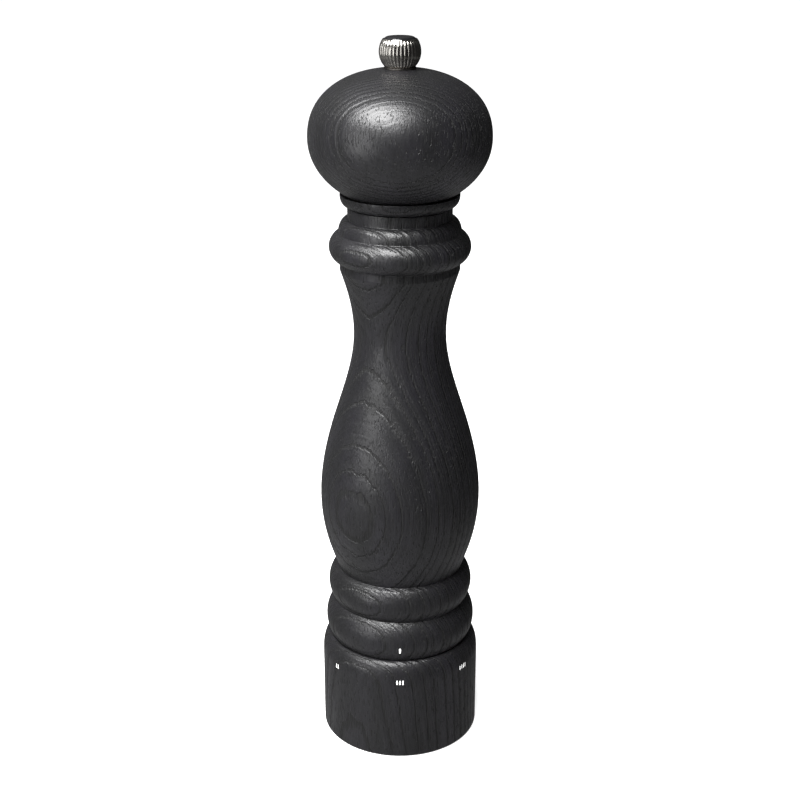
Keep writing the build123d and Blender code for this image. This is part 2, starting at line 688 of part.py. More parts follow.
# ================================================================ bridge under the inner burr
with BuildPart() as bridge:
    extrude(
        spider(hub_radius, BRIDGE_ARM_WIDTH, bridge_arm_reach, bridge_arm_bottom, BRIDGE_ARMS),
        amount=BRIDGE_ARM_THICKNESS,
    )
    revolve(ring_section(0, hub_radius, bridge_foot, bridge_top), axis=Axis.Z)
    revolve(ring_section(0, BUSH_RADIUS + SEAT_GAP, bridge_foot, bridge_top), axis=Axis.Z, mode=Mode.SUBTRACT)
bridge.part.label = "bridge"
export_step(bridge.part, "parts/bridge.step")

with BuildPart() as bearing_bush:
    revolve(ring_section(JOURNAL_RADIUS + JOURNAL_GAP, BUSH_RADIUS, bridge_foot, bridge_top), axis=Axis.Z)
bearing_bush.part.label = "bearing_bush"
export_step(bearing_bush.part, "parts/bearing_bush.step")

with BuildPart() as thrust_washer:
    revolve(
        ring_section(shaft_corner_radius + TURN_GAP, washer_radius, bridge_top, inner_burr_foot),
        axis=Axis.Z,
    )
thrust_washer.part.label = "thrust_washer"
export_step(thrust_washer.part, "parts/thrust_washer.step")

# ================================================================ shaft
with BuildPart() as drive_shaft:
    revolve(ring_section(0, JOURNAL_RADIUS, journal_foot, journal_top), axis=Axis.Z)
    extrude(shaft_section(journal_top), amount=thread_bottom - journal_top)
    revolve(ring_section(0, THREAD_RADIUS, thread_bottom, thread_top), axis=Axis.Z)
    chamfer(faces().sort_by(Axis.Z)[-1].edges(), THREAD_CHAMFER)
    revolve(
        ring_section(
            CLIP_GROOVE_RADIUS,
            shaft_corner_radius + CUT_SPARE,
            flange_top,
            flange_top + CLIP_THICKNESS,
        ),
        axis=Axis.Z,
        mode=Mode.SUBTRACT,
    )
drive_shaft.part.label = "drive_shaft"
export_step(drive_shaft.part, "parts/drive_shaft.step")

with BuildPart() as shaft_clip:
    revolve(
        ring_section(CLIP_GROOVE_RADIUS + SEAT_GAP, clip_radius, flange_top, flange_top + CLIP_THICKNESS),
        axis=Axis.Z,
    )
    with BuildSketch(Plane.XY.offset(flange_top)):
        with Locations((clip_radius / 2, 0)):
            Rectangle(clip_radius, CLIP_MOUTH)
        with PolarLocations(
            CLIP_GROOVE_RADIUS + CLIP_EYE_STAND,
            2,
            start_angle=CLIP_EYE_ANGLE,
            angular_range=360 - 2 * CLIP_EYE_ANGLE,
        ):
            Circle(CLIP_EYE_RADIUS)
    extrude(amount=CLIP_THICKNESS, mode=Mode.SUBTRACT)
shaft_clip.part.label = "shaft_clip"
export_step(shaft_clip.part, "parts/shaft_clip.step")

# ================================================================ inner burr and its spring
with BuildPart() as inner_burr:
    revolve(
        turned_section(
            (0, inner_burr_foot),
            (inner_burr_radius, inner_burr_foot),
            (inner_burr_radius - FINE_ZONE_TAPER, fine_zone_top),
            (inner_burr_radius - FINE_ZONE_TAPER - INNER_STEP_WIDTH, fine_zone_top + BURR_STEP_HEIGHT),
            (inner_burr_top_radius, inner_burr_top),
            (0, inner_burr_top),
        ),
        axis=Axis.Z,
    )
    with BuildSketch(Plane.XY.offset(inner_burr_foot)):
        with PolarLocations(inner_burr_radius, FINE_TEETH):
            Circle(FINE_GROOVE)
    extrude(amount=FINE_ZONE_HEIGHT, mode=Mode.SUBTRACT, taper=-FINE_GROOVE_FLARE)
    with BuildSketch(Plane.XY.offset(fine_zone_top)):
        with PolarLocations(inner_burr_radius - INNER_COARSE_INSET, COARSE_TEETH):
            Circle(INNER_COARSE_GROOVE)
    extrude(amount=INNER_BURR_HEIGHT, mode=Mode.SUBTRACT)
    extrude(
        shaft_section(inner_burr_foot, SQUARE_GAP),
        amount=INNER_BURR_HEIGHT,
        mode=Mode.SUBTRACT,
    )
inner_burr.part.label = "inner_burr"
export_step(inner_burr.part, "parts/inner_burr.step")

with BuildPart() as spring_washer:
    revolve(
        ring_section(shaft_corner_radius + TURN_GAP, washer_radius, inner_burr_top, spring_foot),
        axis=Axis.Z,
    )
spring_washer.part.label = "spring_washer"
export_step(spring_washer.part, "parts/spring_washer.step")

with BuildPart() as burr_spring:
    coil_height = guide_hub_bottom - spring_foot - SPRING_WIRE - 2 * SEAT_GAP
    with BuildLine(Plane.XY.offset(spring_foot + SPRING_WIRE / 2 + SEAT_GAP)) as coil:
        Helix(SPRING_PITCH, coil_height, spring_radius)
    with BuildSketch(Plane(origin=coil.line @ 0, z_dir=coil.line % 0)):
        Circle(SPRING_WIRE / 2)
    sweep(path=coil.line)
burr_spring.part.label = "burr_spring"
export_step(burr_spring.part, "parts/burr_spring.step")

# ================================================================ head
with BuildPart() as head_shell:
    with BuildSketch(Plane.XZ):
        with BuildLine():
            ring_turn = head_bottom + HEAD_RING_ROUND
            lower_angle = -degrees(asin(HEAD_LOWER_HEIGHT / HEAD_LOWER_REACH))
            EllipticalCenterArc(
                (0, head_level),
                HEAD_RADIUS,
                HEAD_LOWER_REACH,
                start_angle=lower_angle,
                arc_size=-lower_angle,
            )
            Spline(*head_curve(), tangents=((0, 1), (-1, HEAD_FLAT_SLOPE)))
            Polyline(
                (HEAD_FLAT_RADIUS, head_top),
                (head_bore_radius, head_top),
                (head_bore_radius, spigot_bottom),
                (spigot_radius, spigot_bottom),
                (spigot_radius, head_bottom),
                (NECK_RADIUS, head_bottom),
            )
            EllipticalCenterArc(
                (NECK_RADIUS, ring_turn),
                HEAD_RING_RADIUS - NECK_RADIUS,
                HEAD_RING_ROUND,
                start_angle=-90,
                arc_size=90,
            )
            Polyline(
                (HEAD_RING_RADIUS, ring_turn),
                (HEAD_RING_RADIUS, head_ring_top),
                (HEAD_RADIUS * cos(radians(lower_angle)), head_ring_top),
            )
        make_face()
    revolve(axis=Axis.Z)
    with BuildSketch(Plane.XY.offset(spigot_bottom)):
        for angle in DRIVE_PLATE_SCREW_ANGLES:
            with PolarLocations(plate_screw_circle, 1, start_angle=angle):
                Circle(PLATE_SCREW_RADIUS + SEAT_GAP)
    extrude(amount=PLATE_SCREW_LENGTH, mode=Mode.SUBTRACT)
head_shell.part.label = "head_shell"
export_step(head_shell.part, "parts/head_shell.step")

with BuildPart() as head_bush:
    revolve(
        ring_section(spigot_radius + SEAT_GAP, head_bush_radius, spigot_bottom, head_bottom - TURN_GAP),
        axis=Axis.Z,
    )
head_bush.part.label = "head_bush"
export_step(head_bush.part, "parts/head_bush.step")

with BuildPart() as drive_plate:
    with BuildSketch(Plane.XY.offset(plate_bottom)):
        Circle(spigot_radius - TURN_GAP)
        for angle in DRIVE_PLATE_SCREW_ANGLES:
            with PolarLocations(plate_screw_circle, 1, start_angle=angle):
                Circle(PLATE_SCREW_RADIUS + SEAT_GAP, mode=Mode.SUBTRACT)
    extrude(amount=DRIVE_PLATE_THICKNESS)
    extrude(
        shaft_section(plate_bottom, SQUARE_GAP),
        amount=DRIVE_PLATE_THICKNESS,
        mode=Mode.SUBTRACT,
    )
drive_plate.part.label = "drive_plate"
export_step(drive_plate.part, "parts/drive_plate.step")

with BuildPart() as drive_plate_screws:
    screw_foot = plate_bottom - PLATE_SCREW_HEAD_HEIGHT
    for angle in DRIVE_PLATE_SCREW_ANGLES:
        with BuildSketch(Plane.XY.offset(screw_foot)):
            with PolarLocations(plate_screw_circle, 1, start_angle=angle):
                Circle(SCREW_HEAD_RADIUS)
        extrude(amount=PLATE_SCREW_HEAD_HEIGHT)
        with BuildSketch(Plane.XY.offset(plate_bottom)):
            with PolarLocations(plate_screw_circle, 1, start_angle=angle):
                Circle(PLATE_SCREW_RADIUS)
        extrude(amount=DRIVE_PLATE_THICKNESS + PLATE_SCREW_LENGTH - PLATE_SCREW_SPARE)
        with BuildSketch(Plane.XY.offset(screw_foot)):
            with PolarLocations(plate_screw_circle, 1, start_angle=angle):
                Rectangle(2 * SCREW_HEAD_RADIUS, SCREW_SLOT)
        extrude(amount=PLATE_SCREW_HEAD_HEIGHT / 2, mode=Mode.SUBTRACT)
drive_plate_screws.part.label = "drive_plate_screws"
export_step(drive_plate_screws.part, "parts/drive_plate_screws.step")

# ================================================================ knob
with BuildPart() as knob_washer:
    revolve(
        ring_section(THREAD_RADIUS + THREAD_HOLE_GAP, KNOB_WASHER_RADIUS, head_top, knob_foot),
        axis=Axis.Z,
    )
knob_washer.part.label = "knob_washer"
export_step(knob_washer.part, "parts/knob_washer.step")

with BuildPart() as knob:
    with BuildSketch(Plane.XZ):
        with BuildLine():
            insert_hole = INSERT_RADIUS + SEAT_GAP
            insert_top = knob_foot + INSERT_LENGTH
            recess_floor = knob_rim - CAP_RECESS_DEPTH
            ThreePointArc(
                (knob_foot_radius, knob_foot),
                (KNOB_RADIUS, knob_level),
                (knob_flat_radius, knob_rim),
            )
            Polyline(
                (knob_flat_radius, knob_rim),
                (cap_radius + SEAT_GAP, knob_rim),
                (cap_radius + SEAT_GAP, recess_floor),
                (0, recess_floor),
                (0, insert_top),
                (insert_hole, insert_top),
                (insert_hole, knob_foot),
                (knob_foot_radius, knob_foot),
            )
        make_face()
    revolve(axis=Axis.Z)
    # each thin torus round the ball cuts two opposite flutes
    for flute in range(KNOB_FLUTES // 2):
        with Locations(Location((0, 0, knob_level), (90, 0, flute * 360 / KNOB_FLUTES))):
            Torus(KNOB_RADIUS, FLUTE_RADIUS, mode=Mode.SUBTRACT)
knob.part.label = "knob"
export_step(knob.part, "parts/knob.step")

with BuildPart() as knob_insert:
    revolve(ring_section(THREAD_RADIUS + JOURNAL_GAP, INSERT_RADIUS, knob_foot, insert_top), axis=Axis.Z)
knob_insert.part.label = "knob_insert"
export_step(knob_insert.part, "parts/knob_insert.step")

with BuildPart() as knob_cap:
    revolve(
        turned_section(
            (0, recess_floor),
            (cap_radius, recess_floor),
            (cap_radius, knob_rim),
            (cap_radius - CAP_BEVEL, knob_top),
            (0, knob_top),
        ),
        axis=Axis.Z,
    )
knob_cap.part.label = "knob_cap"
export_step(knob_cap.part, "parts/knob_cap.step")

print("overall height", round(knob_top, 2), "widest", 2 * max(HEAD_RADIUS, BASE_RADIUS, BELLY_RADIUS))
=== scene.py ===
# %% [markdown]
# # A turned pepper mill in ebonised ash
#
# The real mill is three turned blocks of ash, a base, a body and a ball head, dyed black
# and lacquered to a satin, with a grinding mechanism of steel and plastic inside and a
# small reeded nickel knob on top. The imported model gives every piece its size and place.
# This lesson gives the pieces their looks. It loads the model first and keeps its box,
# because nothing made here may reach outside it.

from math import pi, radians

import bpy
import numpy as np
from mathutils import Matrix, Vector


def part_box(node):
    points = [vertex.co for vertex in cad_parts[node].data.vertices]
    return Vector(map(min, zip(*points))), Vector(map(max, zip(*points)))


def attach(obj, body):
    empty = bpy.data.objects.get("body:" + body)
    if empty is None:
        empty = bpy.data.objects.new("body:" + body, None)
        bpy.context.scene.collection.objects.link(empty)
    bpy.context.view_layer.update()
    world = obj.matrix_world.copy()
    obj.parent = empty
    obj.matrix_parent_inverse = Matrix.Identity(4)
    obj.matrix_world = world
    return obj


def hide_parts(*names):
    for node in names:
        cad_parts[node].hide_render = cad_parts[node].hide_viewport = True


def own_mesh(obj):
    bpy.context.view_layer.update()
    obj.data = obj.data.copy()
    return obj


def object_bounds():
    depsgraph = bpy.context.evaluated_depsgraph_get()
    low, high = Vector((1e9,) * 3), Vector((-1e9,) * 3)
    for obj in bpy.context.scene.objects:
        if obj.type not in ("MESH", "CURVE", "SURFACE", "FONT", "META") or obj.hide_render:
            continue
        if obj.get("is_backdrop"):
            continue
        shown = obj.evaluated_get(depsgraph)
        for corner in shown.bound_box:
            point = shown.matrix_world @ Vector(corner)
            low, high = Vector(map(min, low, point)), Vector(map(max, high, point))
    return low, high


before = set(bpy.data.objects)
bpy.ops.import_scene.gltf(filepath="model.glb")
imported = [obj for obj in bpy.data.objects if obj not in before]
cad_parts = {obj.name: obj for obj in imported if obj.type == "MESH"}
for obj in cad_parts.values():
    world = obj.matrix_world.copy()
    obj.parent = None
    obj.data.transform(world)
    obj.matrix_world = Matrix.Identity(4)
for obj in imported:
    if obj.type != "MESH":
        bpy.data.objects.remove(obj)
cad_low, cad_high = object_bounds()
print("nodes", len(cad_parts), "height in mm", round((cad_high.z - cad_low.z) * 1000, 2))

# %% [markdown]
# ## Surfaces from arrays
#
# Turned wood, reeds on a knob, strokes of ink and a coil of wire all have one thing in
# common: a row of points is carried round or along something. So one helper turns a grid
# of points into a closed mesh. The grid is rows by columns. Columns always join up into
# loops. Rows either join up too, as on a ring, or end in a pole at each end, as on a ball.
# The arrays are in millimetres, because that is how the pieces were measured.

# %% A closed surface from a grid of points
MM = 0.001


def shell(name, grid, poles=None):
    """Closed mesh from a (rows, columns, 3) grid in millimetres. Each cell becomes one face.

    With poles, the first and the last row are closed by a fan of triangles to a point.
    Without, the last row joins the first. The volume's sign says which way the faces look:
    it is the sum over faces of each corner point dotted with the face's own area vector,
    and when it is negative every face is turned round."""
    rows, columns = grid.shape[:2]
    points = grid.reshape(-1, 3)
    here = np.arange(rows * columns).reshape(rows, columns)
    after = np.roll(here, -1, axis=1)
    last = rows - 1 if poles else rows
    up = np.roll(here, -1, axis=0)[:last]
    up_after = np.roll(after, -1, axis=0)[:last]
    quads = np.stack([here[:last], after[:last], up_after, up], axis=-1).reshape(-1, 4)
    fans = np.empty((0, 3), dtype=int)
    if poles:
        points = np.vstack([points, poles])
        foot = np.full(columns, rows * columns)
        fans = np.vstack([
            np.stack([foot, after[0], here[0]], axis=-1),
            np.stack([foot + 1, here[-1], after[-1]], axis=-1),
        ])
    halves = np.vstack([quads[:, [0, 1, 2]], quads[:, [0, 2, 3]], fans])
    a, b, c = points[halves[:, 0]], points[halves[:, 1]], points[halves[:, 2]]
    volume = float((a * np.cross(b, c)).sum() / 6)
    if volume < 0:
        quads, fans = quads[:, ::-1], fans[:, ::-1]
    mesh = bpy.data.meshes.new(name)
    mesh.from_pydata((points * MM).tolist(), [], quads.tolist() + fans.tolist())
    mesh.shade_smooth()
    piece = bpy.data.objects.new(name, mesh)
    bpy.context.scene.collection.objects.link(piece)
    print(name, "faces", len(mesh.polygons), "volume in cubic mm", round(abs(volume), 1))
    return piece


# %% [markdown]
# A lathe makes a surface from a half section. The crisp corners of a drawing never leave
# the lathe crisp: sandpaper and lacquer ease them. So every corner between two stretches
# of the section is replaced by a small curve, which also gives each edge its fine line of
# light. Points sit close together only where the section bends.

# %% Half sections and turning
def eased(stretches, ease=0.25, steps=4, closed=True):
    """Joins stretches of a half section, each an array of (radius, height) points.

    Where two stretches meet, both stop short of the corner by the ease, and a quadratic
    curve with the corner as its middle control point joins them."""
    count = len(stretches)
    starts = [closed or k > 0 for k in range(count)]
    ends = [closed or k < count - 1 for k in range(count)]
    cut = []
    for line, at_start, at_end in zip(stretches, starts, ends):
        line = np.asarray(line, float)
        along = np.concatenate([[0], np.cumsum(np.hypot(*np.diff(line, axis=0).T))])
        room = min(ease, along[-1] * 0.45)
        low = room if at_start else 0
        high = along[-1] - room if at_end else along[-1]
        between = along[(along > low + 0.01) & (along < high - 0.01)]
        stops = np.concatenate([[low], between, [high]])
        cut.append(np.stack([np.interp(stops, along, line[:, part]) for part in (0, 1)], axis=-1))
    section = []
    t = np.linspace(0, 1, steps + 2)[1:-1, None]
    for k, line in enumerate(cut):
        section.append(line)
        if ends[k]:
            nearby = cut[(k + 1) % count]
            corner = np.asarray(stretches[k], float)[-1]
            section.append(line[-1] * (1 - t) ** 2 + corner * 2 * t * (1 - t) + nearby[0] * t**2)
    return np.vstack(section)


def line(start, end, steps=1):
    """Straight stretch: steps equal parts of the way from start to end."""
    t = np.linspace(0, 1, steps + 1)[:, None]
    return np.asarray(start) * (1 - t) + np.asarray(end) * t


def arc(start, middle, end, steps=16):
    """Stretch of the circle through three points, divided evenly by angle."""
    start, middle, end = (np.asarray(p, float) for p in (start, middle, end))
    centre = np.linalg.solve(2 * np.array([middle - start, end - start]), [
        middle @ middle - start @ start,
        end @ end - start @ start,
    ])
    angles = np.unwrap([np.arctan2(*(p - centre)[::-1]) for p in (start, middle, end)])
    t = np.linspace(angles[0], angles[2], steps + 1)
    return centre + np.hypot(*(start - centre)) * np.stack([np.cos(t), np.sin(t)], axis=-1)


def quarter(centre, across, height, first, last, steps=12):
    """Stretch of an ellipse about a centre, from the first to the last angle in degrees."""
    t = np.radians(np.linspace(first, last, steps + 1))
    return np.asarray(centre) + np.stack([across * np.cos(t), height * np.sin(t)], axis=-1)


def turned(name, section, segments=192, wobble=None):
    """Surface of revolution: each section point goes round the Z axis.

    x is radius times cosine, y is radius times sine. A section that starts and ends on
    the axis gets poles there. The wobble, if any, is added to the radius of each point."""
    poles = None
    if section[0, 0] == 0 and section[-1, 0] == 0:
        poles = [(0, 0, section[0, 1]), (0, 0, section[-1, 1])]
        section = section[1:-1]
    angle = np.linspace(0, 2 * pi, segments, endpoint=False)
    radius = section[:, :1] + (0 if wobble is None else wobble(section, angle))
    grid = np.stack([
        radius * np.cos(angle),
        radius * np.sin(angle),
        np.broadcast_to(section[:, 1:], (len(section), segments)),
    ], axis=-1)
    return shell(name, grid, poles)


# %% [markdown]
# ## The body
#
# The body is turned from one block between centres: two plump beads over the setting
# ring, a belly, a long waist, and a collar of a fillet, a big bead and a quarter round
# under the head. Beads are arcs of circles, as a bead-forming gouge leaves them. The
# belly and the waist are one free curve, so a spline runs through a few radii. The middle
# is bored out to hold the peppercorns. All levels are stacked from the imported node's foot.

# %% The body's half section
def smooth_through(points, steps):
    """Cubic spline through points, with the chord length as parameter and no bend at the ends.

    The second derivatives come from the usual three-term equations, solved as one matrix."""
    points = np.asarray(points, float)
    at = np.concatenate([[0], np.cumsum(np.hypot(*np.diff(points, axis=0).T))])
    gap = np.diff(at)
    count = len(points)
    matrix = np.eye(count)
    right = np.zeros_like(points)
    inner = np.arange(1, count - 1)
    matrix[inner, inner - 1] = gap[:-1]
    matrix[inner, inner] = 2 * (gap[:-1] + gap[1:])
    matrix[inner, inner + 1] = gap[1:]
    slope = np.diff(points, axis=0) / gap[:, None]
    right[inner] = 6 * np.diff(slope, axis=0)
    bend = np.linalg.solve(matrix, right)
    t = np.linspace(0, at[-1], steps + 1)
    k = np.clip(np.searchsorted(at, t, side="right") - 1, 0, count - 2)
    before, after, size = (t - at[k])[:, None], (at[k + 1] - t)[:, None], gap[k][:, None]
    return (
        (bend[k] * after**3 + bend[k + 1] * before**3) / (6 * size)
        + (points[k] / size - bend[k] * size / 6) * after
        + (points[k + 1] / size - bend[k + 1] * size / 6) * before
    )


def level(node, end):
    """Height in millimetres of a node's lowest (0) or highest (1) point."""
    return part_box(node)[end].z / MM


# levels, from the foot upwards
body_foot, body_top = level("body_shell", 0), level("body_shell", 1)
bead_1 = body_foot + 17.1
bead_2 = bead_1 + 14.4
belly_foot = bead_2 + 0.8
belly = belly_foot + 32.9
waist = belly + 70.2
band = waist + 28.1
bead_3 = band + 3.2
step_foot = bead_3 + 12.0
step_top = step_foot + 5.6
flange_top = level("burr_housing", 1)
bush_seat = level("neck_bush", 0)

# radii, in the same order, and the gap that is left round a piece let into another
SHOULDER = 29.9
BEAD_1, GROOVE_1 = 32.1, 28.3
BEAD_2, GROOVE_2 = 30.85, 28.4
BELLY_FOOT, BELLY, WAIST = 26.6, 33.65, 18.95
BAND, BEAD_3, STEP = 24.3, 28.55, 24.7
NECK = 21.0
HOPPER = 12.5
FIT = 0.05
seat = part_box("burr_housing")[1].x / MM + FIT
bush_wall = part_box("neck_bush")[1].x / MM + FIT

lower_bead = (SHOULDER, body_foot), (BEAD_1, (body_foot + bead_1) / 2), (GROOVE_1, bead_1)
body_section = eased([
    line((seat, body_foot), (SHOULDER, body_foot), 3),
    arc(*lower_bead, 36),
    arc((GROOVE_1, bead_1), (BEAD_2, (bead_1 + bead_2) / 2), (GROOVE_2, bead_2), 30),
    line((GROOVE_2, bead_2), (BELLY_FOOT, belly_foot), 2),
    smooth_through([
        (BELLY_FOOT, belly_foot), (31.2, belly_foot + 13.6), (BELLY, belly), (27.65, belly + 34.2),
        (WAIST, waist), (21.7, waist + 20.0), (BAND, band),
    ], 110),
    line((BAND, band), (BAND, bead_3), 3),
    arc((BAND, bead_3), (BEAD_3, (bead_3 + step_foot) / 2), (STEP, step_foot), 32),
    quarter((NECK, step_foot), STEP - NECK, step_top - step_foot, 0, 90, 16),
    line((NECK, step_top), (NECK, body_top), 3),
    line((NECK, body_top), (bush_wall, body_top), 2),
    line((bush_wall, body_top), (bush_wall, bush_seat), 4),
    line((bush_wall, bush_seat), (HOPPER, bush_seat), 2),
    line((HOPPER, bush_seat), (HOPPER, flange_top), 16),
    line((HOPPER, flange_top), (seat, flange_top), 3),
    line((seat, flange_top), (seat, body_foot), 2),
])
body = turned("ebonised_body", body_section, segments=240)

# %% [markdown]
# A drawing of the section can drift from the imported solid, so the lesson measures it: for
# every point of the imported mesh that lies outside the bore, how far is the turned section
# from it? One or two tenths of a millimetre are little on a mill 300 mm tall.

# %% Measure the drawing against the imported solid
def drift(node, section, beyond, holes=(0.0, 0.0)):
    """Largest distance from the node's points past a radius to the section's polyline.

    Points inside a radius and under a height, where screw holes are, are left out."""
    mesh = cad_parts[node].data
    points = np.empty(len(mesh.vertices) * 3)
    mesh.vertices.foreach_get("co", points)
    points = points.reshape(-1, 3) / MM
    flat = np.stack([np.hypot(points[:, 0], points[:, 1]), points[:, 2]], axis=-1)
    flat = np.unique(np.round(flat, 2), axis=0)
    flat = flat[(flat[:, 0] > beyond) & ~((flat[:, 0] < holes[0]) & (flat[:, 1] < holes[1]))]
    a, b = section, np.roll(section, -1, axis=0)
    way = b - a
    t = ((flat[:, None] - a) * way).sum(-1) / np.maximum((way**2).sum(-1), 1e-9)
    nearest = a + way * np.clip(t, 0, 1)[..., None]
    return float(np.sqrt(((flat[:, None] - nearest) ** 2).sum(-1)).min(1).max())


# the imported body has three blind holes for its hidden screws, which the drawing leaves out:
# they reach out to 22.1 mm, and end 3.7 mm above the screws' points
screw_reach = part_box("housing_screws")[1]
holes = (22.5, screw_reach.z / MM + 4)
print("body's drift in mm", round(drift("body_shell", body_section, bush_wall + 1, holes), 3))

# %% [markdown]
# ## The head and the base
#
# The head is a ball on a rounded ring: below its widest place it is part of an ellipse, and
# above it a slightly fuller curve, because the real ball is squarer than a sphere towards
# the knob. A spigot under it turns inside the body's neck. The base is a plain drum with a
# soft shoulder. It turns to set the grind, so it is a block of its own.

# %% The head
head_foot, head_top = level("head_shell", 0), level("head_shell", 1)
seam = body_top + 0.3
ring_top = seam + 4.8
BALL_RISE = 21.9  # mm from the ring's top to the ball's widest place
widest = ring_top + BALL_RISE
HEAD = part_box("head_shell")[1].x / MM
HEAD_UNDER = 27.65  # mm from the widest place to the lower ellipse's own foot
HEAD_FLAT = 6.6
RING, RING_BEND = 23.95, 4.3
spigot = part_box("head_bush")[1].x / MM - 1.2
bore = 4.8


def fuller_curve(radius, height, flat, power, steps):
    """Superellipse from the widest place to the flat: radius times cosine to the power
    two over n, and height times sine to the same power, with n a little above two."""
    full = height / (1 - (flat / radius) ** power) ** (1 / power)
    end = np.arcsin((height / full) ** (power / 2))
    t = np.linspace(0, end, steps + 1)
    return np.stack([radius * np.cos(t) ** (2 / power), full * np.sin(t) ** (2 / power)], axis=-1)


under = -np.degrees(np.arcsin(BALL_RISE / HEAD_UNDER))
head_section = eased([
    quarter((0, widest), HEAD, HEAD_UNDER, under, 0, 44),
    (0, widest) + fuller_curve(HEAD, head_top - widest, HEAD_FLAT, 2.25, 64),
    line((HEAD_FLAT, head_top), (bore, head_top), 1),
    line((bore, head_top), (bore, head_foot), 12),
    line((bore, head_foot), (spigot, head_foot), 2),
    line((spigot, head_foot), (spigot, seam), 4),
    line((spigot, seam), (NECK, seam), 2),
    quarter((NECK, seam + RING_BEND), RING - NECK, RING_BEND, -90, 0, 12),
    line((RING, seam + RING_BEND), (RING, ring_top), 1),
    line((RING, ring_top), (HEAD * np.cos(np.radians(under)), ring_top), 1),
], ease=0.2)
head = turned("ebonised_head", head_section, segments=240)
print("head's drift in mm", round(drift("head_shell", head_section, spigot + 1), 3))

# %% The base, which turns as the setting ring
base_foot, base_top = level("base_ring", 0), level("base_ring", 1)
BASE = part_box("base_ring")[1].x / MM
insert_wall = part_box("ring_insert")[1].x / MM + FIT
insert_foot = level("ring_insert", 0)
outlet = insert_wall - 1.05
MOUTH = 26.0
flare_top = 5.0
FOOT_EDGE = 1.2
SHOULDER_DROP = 8.7
shoulder = base_top - SHOULDER_DROP
base_section = eased([
    line((MOUTH, base_foot), (BASE - FOOT_EDGE, base_foot), 3),
    quarter((BASE - FOOT_EDGE, base_foot + FOOT_EDGE), FOOT_EDGE, FOOT_EDGE, -90, 0, 8),
    line((BASE, base_foot + FOOT_EDGE), (BASE, shoulder), 8),
    quarter((SHOULDER, shoulder), BASE - SHOULDER, SHOULDER_DROP, 0, 90, 20),
    line((SHOULDER, base_top), (insert_wall, base_top), 3),
    line((insert_wall, base_top), (insert_wall, insert_foot), 8),
    line((insert_wall, insert_foot), (outlet, insert_foot), 1),
    line((outlet, insert_foot), (outlet, flare_top), 2),
    line((outlet, flare_top), (MOUTH, base_foot), 4),
], ease=0.2)
base = turned("ebonised_base", base_section, segments=240)
print("base's drift in mm", round(drift("base_ring", base_section, insert_wall + 0.5), 3))

for piece, owner, node in (
    (body, "body", "body_shell"),
    (head, "head", "head_shell"),
    (base, "setting_ring", "base_ring"),
):
    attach(piece, owner)
    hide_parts(node)

# %% [markdown]
# ## Ebonised ash
#
# Ash is ring-porous: each spring the tree lays down a band of wide open pores, then dense
# smooth wood for the rest of the year. Black dye and thin satin lacquer hide the colour
# but not the relief, so on the real mill the rings read as dark, broken, slightly sunken
# lines, and wherever the lamp glances off a bead they break its highlight into streaks.
# An image could not follow a turned shape, so the wood is cut out of a solid block: every
# point asks how far it is from the tree's pith, and that distance says which part of which
# year it lies in. Each piece comes from its own block, with its own pith and lean.

# %% Colours and nodes
def linear(code, alpha=1.0):
    """sRGB hex code to linear colour: below 0.04045 divide by 12.92, above it shift, scale
    and raise to 2.4."""
    parts = np.array([int(code[k:k + 2], 16) for k in (1, 3, 5)]) / 255
    parts = np.where(parts <= 0.04045, parts / 12.92, ((parts + 0.055) / 1.055) ** 2.4)
    return (*parts, alpha)


def add(material, kind, inputs=None, **settings):
    """Adds one node: settings are its properties, inputs are values or sockets to link from."""
    node = material.node_tree.nodes.new(kind)
    for name, value in settings.items():
        setattr(node, name, value)
    for socket, value in (inputs or {}).items():
        if isinstance(value, bpy.types.NodeSocket):
            material.node_tree.links.new(value, node.inputs[socket])
        else:
            node.inputs[socket].default_value = value
    return node


def blank(name, **shader):
    """New material with its shader's own sockets set, and its Object coordinates."""
    material = bpy.data.materials.new(name)
    material.use_nodes = True
    bsdf = material.node_tree.nodes["Principled BSDF"]
    for socket, value in shader.items():
        bsdf.inputs[socket.replace("_", " ")].default_value = value
    return material, bsdf, add(material, "ShaderNodeTexCoord").outputs["Object"]


def connect(material, start, end):
    """Links one socket to another."""
    material.node_tree.links.new(start, end)


def mixed(material, share, first, second):
    """Colour between two others. The Mix node's colours are its inputs 6 and 7."""
    return add(material, "ShaderNodeMix", {
        "Factor": share, 6: first, 7: second,
    }, data_type="RGBA").outputs[2]


def eased_range(material, value, low, high, start=0.0, end=1.0):
    """Goes gently from start to end while the value goes from low to high."""
    return add(material, "ShaderNodeMapRange", {
        "Value": value, "From Min": low, "From Max": high, "To Min": start, "To Max": end,
    }, interpolation_type="SMOOTHSTEP").outputs[0]


def wear(piece, material):
    """Puts a material on a piece."""
    piece.data.materials.clear()
    piece.data.materials.append(material)


# %% The wood itself
BAND_SHARE = 0.45  # of a usual year, by which its spring band has faded out


